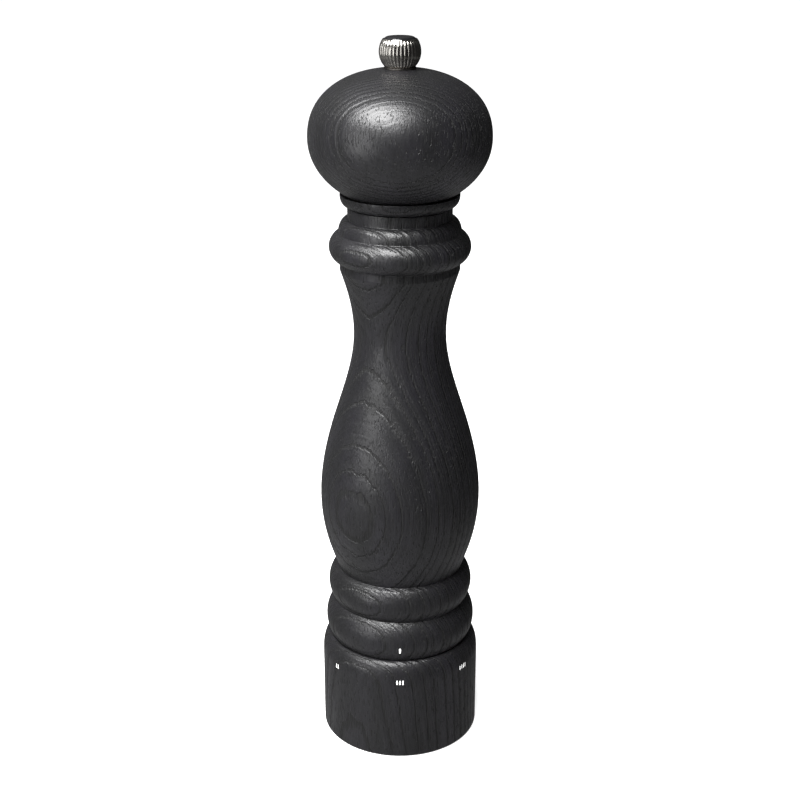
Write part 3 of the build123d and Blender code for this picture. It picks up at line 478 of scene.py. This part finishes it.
def ebonised_ash(name, facing, lean, pith_away, springs, seed, layer_depth=0.34):
    """Black-dyed ash under satin lacquer, cut from a block whose pith lies behind the piece.

    Facing is the compass direction, in degrees from +X, in which the year layers face, and
    lean tips the pith. Springs are the distances from the pith, in millimetres, at which
    a year begins: they need not be even, because good and poor summers are not. Layer depth
    is the relief in mm of the hard and soft layers inside a year."""
    wood, bsdf, place = blank(name, IOR=1.5)
    way = Vector((np.cos(radians(facing)), np.sin(radians(facing)), 0))
    # millimetres in the block's own frame: the pith along Z, the layers facing +X
    block = add(wood, "ShaderNodeMapping", {
        "Vector": place,
        "Location": tuple(-way * pith_away * MM),
        "Rotation": (0, radians(lean), radians(facing)),
        "Scale": (MM, MM, MM),
    }, vector_type="TEXTURE").outputs[0]

    def blobs(size, number, detail=0.0, roughness=0.5, source=block):
        """Noise whose blobs are so many mm out from the pith, round it and along it."""
        scaled = add(wood, "ShaderNodeVectorMath", {
            0: source, 1: tuple(1 / s for s in size),
        }, operation="MULTIPLY").outputs[0]
        return add(wood, "ShaderNodeTexNoise", {
            "Vector": scaled, "W": seed + number, "Scale": 1.0, "Detail": detail, "Roughness": roughness,
        }, noise_dimensions="4D").outputs[0]

    def math(operation, *values, **more):
        return add(wood, "ShaderNodeMath", dict(enumerate(values)), operation=operation, **more).outputs[0]

    flat = add(wood, "ShaderNodeVectorMath", {0: block, 1: (1, 1, 0)}, operation="MULTIPLY").outputs[0]
    out = add(wood, "ShaderNodeVectorMath", {0: flat}, operation="LENGTH").outputs["Value"]
    # years are never true circles: slow swings, and a raggedness along each ring's edge
    swing = math("MULTIPLY_ADD", math("SUBTRACT", blobs((45, 45, 120), 1), 0.5), 2.2, out)
    ragged = math("MULTIPLY_ADD", math("SUBTRACT", blobs((4, 4, 22), 2, 1.0), 0.5), 0.8, swing)
    edge = math("MULTIPLY_ADD", math("SUBTRACT", blobs((0.9, 0.9, 6), 3), 0.5), 0.3, ragged)
    # a curve turns the distance into a count of years, and its fraction is the time of year
    springs = np.sort(springs)
    share = add(wood, "ShaderNodeMapRange", {
        "Value": edge, "From Min": springs[0], "From Max": springs[-1],
    }).outputs[0]
    growth = add(wood, "ShaderNodeFloatCurve", {"Value": share})
    curve = growth.mapping.curves[0]
    places, counts = springs, np.arange(len(springs), dtype=float)
    # a wide year keeps its spring band as thin as the others: the rest of it is plain wood
    growths = np.diff(springs)
    usual = np.median(growths)
    wide = np.flatnonzero(growths > 1.4 * usual)
    places = np.insert(places, wide + 1, springs[wide] + BAND_SHARE * usual)
    counts = np.insert(counts, wide + 1, wide + BAND_SHARE)
    for at in zip((places - places[0]) / np.ptp(places), counts / counts[-1]):
        point = curve.points[-1] if at[0] >= 1 else curve.points.new(*at)
        point.location = at
    for point in curve.points:
        point.handle_type = "VECTOR"
    growth.mapping.update()
    year = math("MULTIPLY", growth.outputs[0], len(springs) - 1.0)
    gone = math("FRACT", year)
    # the spring band is darkest in the first tenth of a year, and its pores merge into one
    # line. Both ends of the ramp are alike, so a year runs on into the next without an edge
    band = add(wood, "ShaderNodeValToRGB", {"Fac": gone}).outputs[0]
    ramp = band.node.color_ramp
    ramp.interpolation = "EASE"
    for position, value in ((0.025, 1.0), (0.09, 0.9), (0.17, 0.2), (0.40, 0.0)):
        stop = ramp.elements.new(position)
        stop.color = (value, value, value, 1)
    for end in (0, -1):
        ramp.elements[end].color = (0.25, 0.25, 0.25, 1)
    # a real ash pore is 0.3 mm wide and up to 10 mm long: drawn at 0.5 mm, so that it shows
    vessels = blobs((0.5, 0.5, 6.5), 4)
    broken = math("MULTIPLY", band, eased_range(wood, vessels, 0.30, 0.52, 0.35, 1.0))
    dashes = eased_range(wood, blobs((0.45, 0.45, 3.5), 5), 0.65, 0.71, 0, 0.9)
    sunk = math("MAXIMUM", broken, dashes)
    fibres = blobs((0.45, 0.45, 14), 6, 3.0, 0.6)
    mottle = blobs((14, 14, 34), 7, 2.0)
    # thin hard and soft layers inside a year, which show where a bead cuts across them
    sides = add(wood, "ShaderNodeSeparateXYZ", {0: block}).outputs
    round_it = math("ARCTAN2", sides[1], sides[0])
    arc_length = math("MULTIPLY", round_it, 80.0)  # mm, along a ring 80 mm out
    layered = add(wood, "ShaderNodeCombineXYZ", {0: edge, 1: arc_length, 2: sides[2]}).outputs[0]
    layers = blobs((0.6, 14, 60), 8, 1.0, 0.5, layered)
    # rays show as short flecks square to the rings
    flecks = eased_range(wood, blobs((5.0, 0.5, 1.6), 9, 1.0), 0.58, 0.72)
    grit = blobs((0.5, 0.5, 0.8), 10, 1.0)

    tone = add(wood, "ShaderNodeValToRGB", {"Fac": mottle}).outputs[0]
    ramp = tone.node.color_ramp
    ramp.elements[0].position, ramp.elements[1].position = 0.36, 0.66
    ramp.elements[0].color = linear("#0e0e0f")
    ramp.elements[1].color = linear("#151418")
    paler = math("MULTIPLY", eased_range(wood, fibres, 0.35, 0.7), 0.35)
    fine = mixed(wood, paler, tone, linear("#1f1f21"))
    connect(wood, mixed(wood, sunk, fine, linear("#040404")), bsdf.inputs["Base Color"])

    # the lacquer is smoothest on the dense wood: lines, layers and fibres roughen it
    satin = math("MULTIPLY_ADD", sunk, 0.34, 0.26)
    satin = math("MULTIPLY_ADD", layers, 0.14, satin)
    satin = math("MULTIPLY_ADD", fibres, 0.06, satin)
    connect(wood, satin, bsdf.inputs["Roughness"])

    # each factor is a height in mm over its pattern's whole range, and lines and pores sink
    depth = math("MULTIPLY", sunk, -0.30)
    depth = math("MULTIPLY_ADD", layers, layer_depth, depth)
    depth = math("MULTIPLY_ADD", fibres, 0.05, depth)
    depth = math("MULTIPLY_ADD", flecks, 0.02, depth)
    depth = math("MULTIPLY_ADD", grit, 0.06, depth)
    bump = add(wood, "ShaderNodeBump", {"Strength": 1.0, "Distance": MM, "Height": depth})
    connect(wood, bump.outputs[0], bsdf.inputs["Normal"])
    return wood


def summers(first, last, usual, seed):
    """Distances of the springs from the pith: steps about the usual growth, a third up or down."""
    steps = usual * np.random.default_rng(seed).uniform(0.7, 1.3, int((last - first) / usual * 1.4) + 2)
    places = first + np.cumsum(steps)
    return [first, *places[places < last], last]


# the body's outer years are spelled out, because they make the figure on its belly
belly_years = [84.9, 90.2, 92.8, 94.1, 97.5, 101.0]
body_springs = summers(18.0, 81.5, 3.2, 5) + belly_years
wear(body, ebonised_ash("ebonised_ash_body", -127, -0.7, 60, body_springs, 11.0))
wear(base, ebonised_ash("ebonised_ash_base", -124, 3, 66, summers(24.0, 108.0, 3.0, 8), 31.0))
# the head's years are even, and its last one is wide, so the middle of its figure is plain
HEAD_YEAR = 1.74
head_springs = [*(160.35 + HEAD_YEAR * np.arange(-44, 1)), 190.0]
wear(head, ebonised_ash("ebonised_ash_head", -93.2, -12.4, 76, head_springs, 57.0, layer_depth=0.18))

# %% [markdown]
# ## Setting marks
#
# The grind settings are printed in white as tally strokes round the base's shoulder, one to
# six of them, and one stroke on the body is the pointer. Printed ink stands a few
# hundredths of a millimetre proud. Each stroke is a thin rounded strip laid along the
# turned section, so it bends over the shoulder as ink would.

# %% Strokes laid on a turned surface
def strokes(name, section_part, angles, width=0.62, proud=0.04):
    """Strips along a stretch of half section at the given angles in degrees.

    The strip's cross-section is an ellipse, half sunk in the wood, which shrinks at the
    strip's ends by the root of one minus the sixth power. Each of its points is moved
    sideways along the surface and outwards along the section's normal. The strips are
    separate closed shells, joined into one mesh."""
    way = np.gradient(section_part, axis=0)
    normal = np.stack([way[:, 1], -way[:, 0]], axis=-1) / np.hypot(*way.T)[:, None]
    ends = np.sqrt(np.clip(1 - np.linspace(-1, 1, len(section_part)) ** 6, 0.02, 1))[:, None]
    turn = np.linspace(0, 2 * pi, 12, endpoint=False)
    side = np.cos(turn) * width / 2 * ends
    rise = np.sin(turn) * proud * ends
    made = []
    for number, angle in enumerate(angles):
        radius = section_part[:, :1] + normal[:, :1] * rise
        height = section_part[:, 1:] + normal[:, 1:] * rise
        swing = radians(angle) + side / section_part[:, :1]
        grid = np.stack([radius * np.cos(swing), radius * np.sin(swing), height], axis=-1)
        made.append(shell(f"{name}_{number}", grid, [grid[0].mean(0), grid[-1].mean(0)]))
    if len(made) > 1:
        with bpy.context.temp_override(active_object=made[0], selected_editable_objects=made):
            bpy.ops.object.join()
    made[0].name = name
    return made[0]


FRONT = -90.0  # degrees from +X
FRONT_MARK = 3  # strokes of the mark that stands under the pointer
SETTING = 53.0  # degrees between two marks
STROKE_GAP = 1.25  # mm between two strokes of one mark
ink, ink_bsdf, ink_place = blank("printed_white_ink", Roughness=0.55)
speckle = add(ink, "ShaderNodeTexNoise", {"Vector": ink_place, "Scale": 2500.0, "Detail": 2.0}).outputs[0]
# the ink breaks up slightly over the grain, about every 0.4 mm
shade = mixed(ink, speckle, linear("#c4c4c4"), linear("#f4f4f2"))
connect(ink, shade, ink_bsdf.inputs["Base Color"])

mark_stretch = np.vstack([
    line((BASE, shoulder - 0.7), (BASE, shoulder), 4),
    quarter((SHOULDER, shoulder), BASE - SHOULDER, SHOULDER_DROP, 0, 10, 4)[1:],
])
for count in range(1, 7):
    middle = FRONT + SETTING * (count - FRONT_MARK)
    spread = np.degrees(STROKE_GAP * (np.arange(count) - (count - 1) / 2) / BASE)
    mark = strokes(f"setting_mark_{count}", mark_stretch, middle + spread)
    wear(mark, ink)
    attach(mark, "setting_ring")
bead_arc = arc(*lower_bead, 60)
pointer_part = bead_arc[(bead_arc[:, 1] > body_foot + 4.0) & (bead_arc[:, 1] < body_foot + 7.0)]
pointer = strokes("pointer_mark", pointer_part, [FRONT], width=0.8)
wear(pointer, ink)
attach(pointer, "body")

# %% [markdown]
# ## The knob
#
# The knob is cast zinc, reeded so that fingers can grip it, and plated with polished
# nickel. Its reeds are round in section and meet in sharp narrow grooves, which is what
# makes bright and dark lines alternate so strongly. A ripple on the radius of a turned
# ball gives exactly that, with no reed to copy and place.

# %% A reeded ball
knob_foot, knob_rim = level("knob", 0), level("knob", 1)
BALL = 8.2
BALL_BELOW, BALL_ABOVE = 5.9, 4.8  # mm of ball under and over its middle
ball_level = knob_foot + BALL_BELOW
foot_radius = np.sqrt(BALL**2 - BALL_BELOW**2)
flat_radius = np.sqrt(BALL**2 - BALL_ABOVE**2)
cap_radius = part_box("knob_cap")[1].x / MM
cap_wall = cap_radius + FIT
recess = level("knob_cap", 0)
insert_top = level("knob_insert", 1)
insert_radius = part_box("knob_insert")[1].x / MM + FIT
REEDS = 32
REED_DEPTH = 0.55
REEDED_FROM, REEDED_TO = -0.715, 0.565  # heights from the middle, in radii of the ball


def reeds(section, angle):
    """Ripple for the ball: across one reed, from -1 to 1, the radius falls by one minus the
    square root of one minus the square, so reeds are round and grooves are sharp. It fades
    out towards the lip and the foot."""
    across = (angle * REEDS / (2 * pi) % 1) * 2 - 1
    groove = 1 - np.sqrt(np.clip(1 - (across * 0.985) ** 2, 0, 1))
    height = (section[:, 1:] - ball_level) / BALL
    on_ball = np.hypot(section[:, :1], section[:, 1:] - ball_level) > BALL - 0.15
    fade = np.clip((REEDED_TO - height) / 0.04, 0, 1) * np.clip((height - REEDED_FROM) / 0.05, 0, 1)
    return -REED_DEPTH * groove * fade * on_ball * section[:, :1] / BALL


rise = np.linspace(-np.arcsin(BALL_BELOW / BALL), np.arcsin(BALL_ABOVE / BALL), 49)
ball = np.stack([BALL * np.cos(rise), ball_level + BALL * np.sin(rise)], axis=-1)
knob_section = np.vstack([
    [(0, insert_top)],
    eased([
        line((0.6, insert_top), (insert_radius, insert_top), 2),
        line((insert_radius, insert_top), (insert_radius, knob_foot), 4),
        line((insert_radius, knob_foot), (foot_radius, knob_foot), 2),
        ball,
        line((flat_radius, knob_rim), (cap_wall, knob_rim), 1),
        line((cap_wall, knob_rim), (cap_wall, recess), 1),
        line((cap_wall, recess), (0.6, recess), 3),
    ], ease=0.12, closed=False),
    [(0, recess)],
])
knob = turned("reeded_knob", knob_section, segments=REEDS * 14, wobble=reeds)
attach(knob, "knob")
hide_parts("knob")

# %% The cap and the washer
cap_high = level("knob_cap", 1)
CAP_SLOPE = 1.4
CAP_DISH = 0.1
slope = np.linspace(0, pi / 2, 9)
cap_edge = np.stack([
    cap_radius - CAP_SLOPE + CAP_SLOPE * np.cos(slope),
    knob_rim + (cap_high - knob_rim) * np.sin(slope) ** 1.3,
], axis=-1)
cap_section = np.vstack([
    [(0, recess)],
    eased([
        line((0.5, recess), (cap_radius, recess), 3),
        line((cap_radius, recess), (cap_radius, knob_rim), 1),
        cap_edge,
        line((cap_radius - CAP_SLOPE, cap_high), (0.5, cap_high - CAP_DISH), 6),
    ], ease=0.08, closed=False),
    [(0, cap_high - CAP_DISH)],
])
cap = turned("knob_cap_disc", cap_section, segments=128)
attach(cap, "knob")
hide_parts("knob_cap")

washer_low, washer_high = level("knob_washer", 0), level("knob_washer", 1)
washer_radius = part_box("knob_washer")[1].x / MM
WASHER_HOLE = 2.9
washer_section = eased([
    line((WASHER_HOLE, washer_low), (washer_radius, washer_low), 3),
    line((washer_radius, washer_low), (washer_radius, washer_high), 1),
    line((washer_radius, washer_high), (WASHER_HOLE, washer_high), 3),
    line((WASHER_HOLE, washer_high), (WASHER_HOLE, washer_low), 1),
], ease=0.15)
washer = turned("knob_washer_ring", washer_section, segments=128)
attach(washer, "knob_washer")
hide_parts("knob_washer")

# %% [markdown]
# ## Metals and plastics
#
# The knob is polished nickel: warm grey and bright, but not quite a mirror. The washer
# under it is nickel dulled by rubbing, and its dark colour is painted shade for the shadow
# under the knob's foot. The mechanism is plainer. Its housing and the ring it turns in
# are moulded acetal, black, with the fine matt texture that a spark-eroded mould leaves.
# The bridge and screws are zinc-plated, the shaft is drawn steel, the burrs are hardened
# steel, the bush is bronze. Metals differ by colour, roughness and the marks of how they
# were made, so one function takes those as its settings.

# %% Metal finishes
def metal(name, dark, light, roughness, mark_across, mark_along, depth):
    """Metal with two near tones, and marks so many mm wide and long, raised by a depth in mm."""
    material, bsdf, place = blank(name, Metallic=1.0)
    scaled = add(material, "ShaderNodeMapping", {
        "Vector": place, "Scale": (MM * mark_across, MM * mark_across, MM * mark_along),
    }, vector_type="TEXTURE").outputs[0]
    marks = add(material, "ShaderNodeTexNoise", {
        "Vector": scaled, "Scale": 1.0, "Detail": 4.0, "Roughness": 0.6,
    }).outputs[0]
    patches = add(material, "ShaderNodeTexNoise", {
        "Vector": place, "Scale": 180.0, "Detail": 2.0,
    }).outputs[0]
    blend = add(material, "ShaderNodeMath", {0: marks, 1: patches}, operation="MULTIPLY").outputs[0]
    share = add(material, "ShaderNodeMapRange", {
        "Value": blend, "From Min": 0.15, "From Max": 0.4,
    }).outputs[0]
    tone = mixed(material, share, linear(dark), linear(light))
    connect(material, tone, bsdf.inputs["Base Color"])
    rough = add(material, "ShaderNodeMapRange", {
        "Value": marks, "From Min": 0.3, "From Max": 0.7,
        "To Min": roughness * 0.75, "To Max": roughness * 1.25,
    }).outputs[0]
    connect(material, rough, bsdf.inputs["Roughness"])
    bump = add(material, "ShaderNodeBump", {"Strength": 1.0, "Distance": depth * MM, "Height": marks})
    connect(material, bump.outputs[0], bsdf.inputs["Normal"])
    return material


nickel = metal("polished_nickel_plate", "#a19e99", "#c4c1bb", 0.19, 3.0, 3.0, 0.01)
# the washer's rubbed nickel is darkened into painted shade, standing in for the shadow under the knob's
# foot
rubbed_and_shaded_nickel = metal("rubbed_nickel_painted_shade", "#3c3a38", "#55524f", 0.5, 0.8, 0.8, 0.02)
zinc = metal("zinc_plated_steel", "#9a9d9f", "#b9bdc0", 0.34, 0.6, 0.6, 0.02)
drawn = metal("drawn_spring_steel", "#6f7073", "#8d8e90", 0.30, 0.25, 6.0, 0.015)
hardened = metal("hardened_burr_steel", "#4d4c4c", "#716f6d", 0.42, 0.35, 0.35, 0.03)
brass = metal("turned_brass", "#a5803a", "#c9a25a", 0.25, 3.0, 0.2, 0.01)
bronze = metal("sintered_bronze", "#7d5a35", "#a67c4b", 0.45, 0.3, 0.3, 0.03)
wear(knob, nickel)
wear(washer, rubbed_and_shaded_nickel)


# %% Moulded plastics
def moulded(name, dark, light, roughness, grit, depth):
    """Black moulding with an eroded texture of a grit size and depth in mm."""
    material, bsdf, place = blank(name, IOR=1.48)
    cells = add(material, "ShaderNodeTexVoronoi", {
        "Vector": place, "Scale": 1 / (grit * MM),
    }).outputs["Distance"]
    cloud = add(material, "ShaderNodeTexNoise", {"Vector": place, "Scale": 120.0, "Detail": 3.0}).outputs[0]
    tone = mixed(material, cloud, linear(dark), linear(light))
    connect(material, tone, bsdf.inputs["Base Color"])
    rough = add(material, "ShaderNodeMapRange", {
        "Value": cells, "To Min": roughness * 0.85, "To Max": roughness * 1.2,
    }).outputs[0]
    connect(material, rough, bsdf.inputs["Roughness"])
    bump = add(material, "ShaderNodeBump", {"Strength": 0.6, "Distance": depth * MM, "Height": cells})
    connect(material, bump.outputs[0], bsdf.inputs["Normal"])
    return material


# the mould's grit is about 0.1 mm: drawn at 0.35 mm, so that it shows
acetal = moulded("moulded_black_acetal", "#19191a", "#242425", 0.5, 0.35, 0.04)
gloss = moulded("polished_black_abs", "#0c0c0d", "#141416", 0.16, 0.9, 0.004)
wear(cap, gloss)

# %% [markdown]
# ## The burr's spring
#
# A coil spring presses the inner burr down on its washer. Real ones have closed ends: the
# first and the last turn lie flat against their neighbour, so that the spring stands
# straight. The imported one is an even helix. This one is a round wire carried along a
# helix whose pitch is small at the ends, and it moves with the inner burr.

# %% A coil with closed ends
WIRE = 0.9
TURNS = 5.5
CLOSED_TURNS = 0.7  # at each end, before the pitch begins to grow
OPENING_TURNS = 0.6  # in which it grows to its full value
spring_low, spring_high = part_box("burr_spring")
turned_by = np.linspace(0, TURNS, 331)
# the pitch starts at about the wire's width, grows, and falls back. Only the shares of
# the climb count, because the next line stretches them to the spring's whole length
from_end = np.minimum(turned_by, TURNS - turned_by)
opened = np.clip((from_end - CLOSED_TURNS) / OPENING_TURNS, 0, 1)
climb = np.cumsum(WIRE * 1.02 + 1.55 * opened**2 * (3 - 2 * opened))
climb = (climb - climb[0]) / (climb[-1] - climb[0])
reach = spring_high.x / MM - WIRE / 2
outwards = np.stack([np.cos(2 * pi * turned_by), np.sin(2 * pi * turned_by), 0 * turned_by], axis=-1)
wire_middle = outwards * reach
wire_middle[:, 2] = (spring_low.z / MM + WIRE / 2) + climb * ((spring_high.z - spring_low.z) / MM - WIRE)
along = np.gradient(wire_middle, axis=0)
across_wire = np.cross(along / np.linalg.norm(along, axis=1)[:, None], outwards)
around = np.linspace(0, 2 * pi, 20, endpoint=False)[:, None]
# each ring of the wire is a circle: cosine outwards, sine across the wire's own way
rim = np.cos(around) * outwards[:, None] + np.sin(around) * across_wire[:, None]
wire = wire_middle[:, None] + WIRE / 2 * rim
spring = shell("coiled_burr_spring", wire, [wire_middle[0], wire_middle[-1]])
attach(spring, "inner_burr")
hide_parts("burr_spring")
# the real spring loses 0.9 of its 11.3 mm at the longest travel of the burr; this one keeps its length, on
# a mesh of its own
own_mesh(spring)
wear(spring, drawn)

# %% [markdown]
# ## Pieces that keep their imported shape
#
# The rest of the mechanism is plain turned and stamped work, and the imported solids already
# have its true shape. Those pieces only need their finish.

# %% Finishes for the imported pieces
FINISH = {
    "black_plastic": acetal, "black_gloss_plastic": gloss, "zinc_steel": zinc, "spring_steel": drawn,
    "burr_steel": hardened, "nickel_plate": nickel, "brass": brass, "bronze": bronze,
}
for name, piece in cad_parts.items():
    for place in piece.material_slots:
        if place.material.name in FINISH:
            print(name, "goes from", place.material.name, "to", FINISH[place.material.name].name)
            place.material = FINISH[place.material.name]

# %% [markdown]
# ## The studio
#
# The mill stands on a seamless white table. One big soft lamp hangs above and a little left
# of the camera, and a weaker one stands far to the left. Satin black wood shows mostly what
# it reflects, so the light has to come in large sheets: their edges draw the soft-edged
# highlights on the ball and the beads. The backdrop fills in the rest. It is bright
# overhead and below, brighter on the left than on the right, and dim at the mill's height.

# %% Table, light and sky
HALF_TABLE = 9.0
table_corners = [(HALF_TABLE * x, HALF_TABLE * y, 0.0) for x, y in ((-1, -1), (1, -1), (1, 1), (-1, 1))]
table_mesh = bpy.data.meshes.new("table_top")
table_mesh.from_pydata(table_corners, [], [(0, 1, 2, 3)])
table = bpy.data.objects.new("table_top", table_mesh)
bpy.context.scene.collection.objects.link(table)
paper = blank(
    "white_paper", Roughness=0.9, Base_Color=linear("#fafafa"),
    Emission_Color=linear("#ffffff"), Emission_Strength=0.72,
)[0]
wear(table, paper)
# the lacquer mirrors the lower backdrop instead of the table, which is much brighter
table.visible_glossy = False
table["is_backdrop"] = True

scene = bpy.context.scene
scene.view_settings.view_transform = "Standard"
sky = bpy.data.worlds.new("studio_sky")
sky.use_nodes = True
scene.world = sky
background = sky.node_tree.nodes["Background"]
direction = add(sky, "ShaderNodeTexCoord").outputs["Generated"]
rightwards, _, upwards = add(sky, "ShaderNodeSeparateXYZ", {0: direction}).outputs
overhead = eased_range(sky, upwards, 0.42, 0.66, 0.0, 0.48)
left = eased_range(sky, rightwards, 0.4, -0.9, 0.025, 0.23)
below = eased_range(sky, upwards, -0.35, -0.65, 0.0, 0.31)
sides = add(sky, "ShaderNodeMath", {0: left, 1: below}, operation="ADD").outputs[0]
across = eased_range(sky, rightwards, 0.5, -0.4, 0.1, 1.0)
glow = add(sky, "ShaderNodeMath", {
    0: overhead, 1: across, 2: sides,
}, operation="MULTIPLY_ADD").outputs[0]
# the lens sees an even white backdrop, while the mill is lit by the shaded one
seen = add(sky, "ShaderNodeLightPath").outputs["Is Camera Ray"]
strength = add(sky, "ShaderNodeMix", {"Factor": seen, 2: glow, 3: 1.0}, data_type="FLOAT").outputs[0]
background.inputs["Color"].default_value = linear("#ffffff")
connect(sky, strength, background.inputs["Strength"])


def lamp(name, place, aim, width, height, power):
    """Rectangular soft lamp at a place, turned so that it faces its aim."""
    light = bpy.data.lights.new(name, "AREA")
    light.shape = "RECTANGLE"
    light.size, light.size_y, light.energy = width, height, power
    holder = bpy.data.objects.new(name, light)
    holder.location = place
    holder.rotation_euler = (Vector(aim) - Vector(place)).to_track_quat("-Z", "Y").to_euler()
    scene.collection.objects.link(holder)
    return holder


lamp("key_softbox", (-0.36, -0.50, 1.12), (0, 0, 0.2), 0.8, 0.6, 42.0)
lamp("side_softbox", (-1.0, -0.85, 0.34), (0, 0, 0.12), 0.5, 0.8, 5.8)

# %% Camera
camera_data = bpy.data.cameras.new("camera")
camera_data.sensor_width = 36.0
camera_data.lens = 64.1
camera = bpy.data.objects.new("camera", camera_data)
camera.location = (0, -0.5554, 0.36196)
camera.rotation_euler = (Vector((0, 0, 0.15215)) - camera.location).to_track_quat("-Z", "Y").to_euler()
scene.collection.objects.link(camera)
scene.camera = camera

# %% [markdown]
# Last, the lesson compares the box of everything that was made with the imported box.

# %% Sizes
low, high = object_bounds()
differences = [abs(a - b) for a, b in zip((*cad_low, *cad_high), (*low, *high))]
print("largest difference in mm", round(max(differences) / MM, 3))
